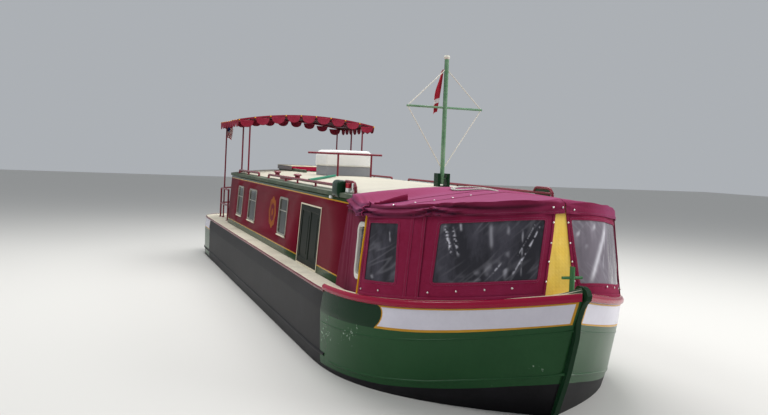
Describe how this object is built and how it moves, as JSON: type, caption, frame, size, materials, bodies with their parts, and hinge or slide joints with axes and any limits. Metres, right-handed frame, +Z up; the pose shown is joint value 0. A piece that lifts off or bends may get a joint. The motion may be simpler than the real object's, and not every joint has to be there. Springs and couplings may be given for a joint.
{
  "type": "canal narrowboat",
  "caption": "Steel canal cruiser with a long windowed cabin, canvas-covered bow well, roof handrails, lowering mast and scalloped stern canopy.",
  "frame": {"origin": "on the underside of the flat bottom plate, midway along the boat and on its centreline", "axes": "+X towards the bow, +Y to port, +Z up"},
  "size_m": [12.508, 3.044, 3.9223],
  "materials": {
    "hull_paint": "gloss",
    "deck_paint": "satin",
    "rail_paint": "gloss",
    "green_paint": "gloss",
    "cabin_paint": "gloss",
    "window_glass": "clear",
    "door_wood": "varnished",
    "deck_board": "painted",
    "engine_paint": "satin",
    "grey_plastic": "matte",
    "white_plastic": "satin",
    "yellow_canvas": "matte",
    "maroon_canvas": "matte",
    "pennant_cloth": "matte",
    "bronze": "cast",
    "rudder_steel": "satin"
  },
  "bodies": {
    "hull": {"bow_rail_port": "rail_paint", "bow_rail_starboard": "rail_paint", "cabin_back": "cabin_paint", "cabin_front": "cabin_paint", "cabin_roof": "deck_paint", "cabin_side_port": "cabin_paint", "cabin_side_starboard": "cabin_paint", "canopy_cover": "maroon_canvas", "canopy_frame": "rail_paint", "canvas_front": "yellow_canvas", "canvas_side_port": "maroon_canvas", "canvas_side_starboard": "maroon_canvas", "canvas_top": "maroon_canvas", "deck_rail_port": "rail_paint", "deck_rail_starboard": "rail_paint", "engine": "engine_paint", "guard_rail_port": "rail_paint", "guard_rail_starboard": "rail_paint", "handrail_aft_port": "rail_paint", "handrail_aft_starboard": "rail_paint", "handrail_fore_port": "rail_paint", "handrail_fore_starboard": "rail_paint", "hull_bottom": "hull_paint", "hull_bow": "hull_paint", "hull_side_port": "hull_paint", "hull_side_starboard": "hull_paint", "hull_stern": "hull_paint", "hull_swim": "hull_paint", "mast_foot": "green_paint", "mooring_post": "green_paint", "roof_box_base": "grey_plastic", "roof_box_cover": "white_plastic", "roof_rack": "rail_paint", "side_deck_port": "deck_paint", "side_deck_starboard": "deck_paint", "stem_bar": "hull_paint", "window_port_aft": "window_glass", "window_port_fore": "window_glass", "window_port_middle": "window_glass", "window_starboard_aft": "window_glass", "window_starboard_fore": "window_glass", "window_starboard_middle": "window_glass"},
    "propeller": {"propeller": "bronze"},
    "rudder": {"rudder": "rudder_steel"},
    "mast": {"mast": "green_paint", "pennant": "pennant_cloth"},
    "sliding_hatch": {"sliding_hatch": "cabin_paint"},
    "engine_hatch": {"engine_hatch": "deck_board"},
    "side_door": {"side_door": "cabin_paint"},
    "front_door_starboard": {"front_door_starboard": "door_wood"},
    "front_door_port": {"front_door_port": "door_wood"},
    "back_door_starboard": {"back_door_starboard": "door_wood"},
    "back_door_port": {"back_door_port": "door_wood"}
  },
  "joints": [
    {"name": "propeller_spin", "type": "hinge", "parent": "hull", "child": "propeller", "pos_m": [-5.23, 0, 0.3], "axis": [1, 0, 0], "continuous": true},
    {"name": "rudder_turn", "type": "hinge", "parent": "hull", "child": "rudder", "pos_m": [-5.65, 0, 0.3], "axis": [0, 0, 1], "range_deg": [-35, 35]},
    {"name": "mast_lower", "type": "hinge", "parent": "hull", "child": "mast", "pos_m": [3.29, 0, 2.5203], "axis": [0, -1, 0], "range_deg": [0, 84]},
    {"name": "hatch_slide", "type": "slide", "parent": "hull", "child": "sliding_hatch", "axis": [1, 0, 0], "range_m": [0, 0.9]},
    {"name": "engine_hatch_lift", "type": "hinge", "parent": "hull", "child": "engine_hatch", "pos_m": [-4.25, 0.41, 1.4103], "axis": [-1, 0, 0], "range_deg": [0, 88]},
    {"name": "side_door_swing", "type": "hinge", "parent": "hull", "child": "side_door", "pos_m": [2.7297, -1.28943, 1.406], "axis": [0, 0.0603, 0.9982], "range_deg": [0, 100]},
    {"name": "front_door_starboard_swing", "type": "hinge", "parent": "hull", "child": "front_door_starboard", "pos_m": [3.896, -0.3197, 1.2], "axis": [0, 0, -1], "range_deg": [0, 165]},
    {"name": "front_door_port_swing", "type": "hinge", "parent": "hull", "child": "front_door_port", "pos_m": [3.896, 0.3197, 1.2], "axis": [0, 0, 1], "range_deg": [0, 165]},
    {"name": "back_door_starboard_swing", "type": "hinge", "parent": "hull", "child": "back_door_starboard", "pos_m": [-3.856, -0.3197, 1.8], "axis": [0, 0, 1], "range_deg": [0, 92]},
    {"name": "back_door_port_swing", "type": "hinge", "parent": "hull", "child": "back_door_port", "pos_m": [-3.856, 0.3197, 1.8], "axis": [0, 0, -1], "range_deg": [0, 92]}
  ]
}
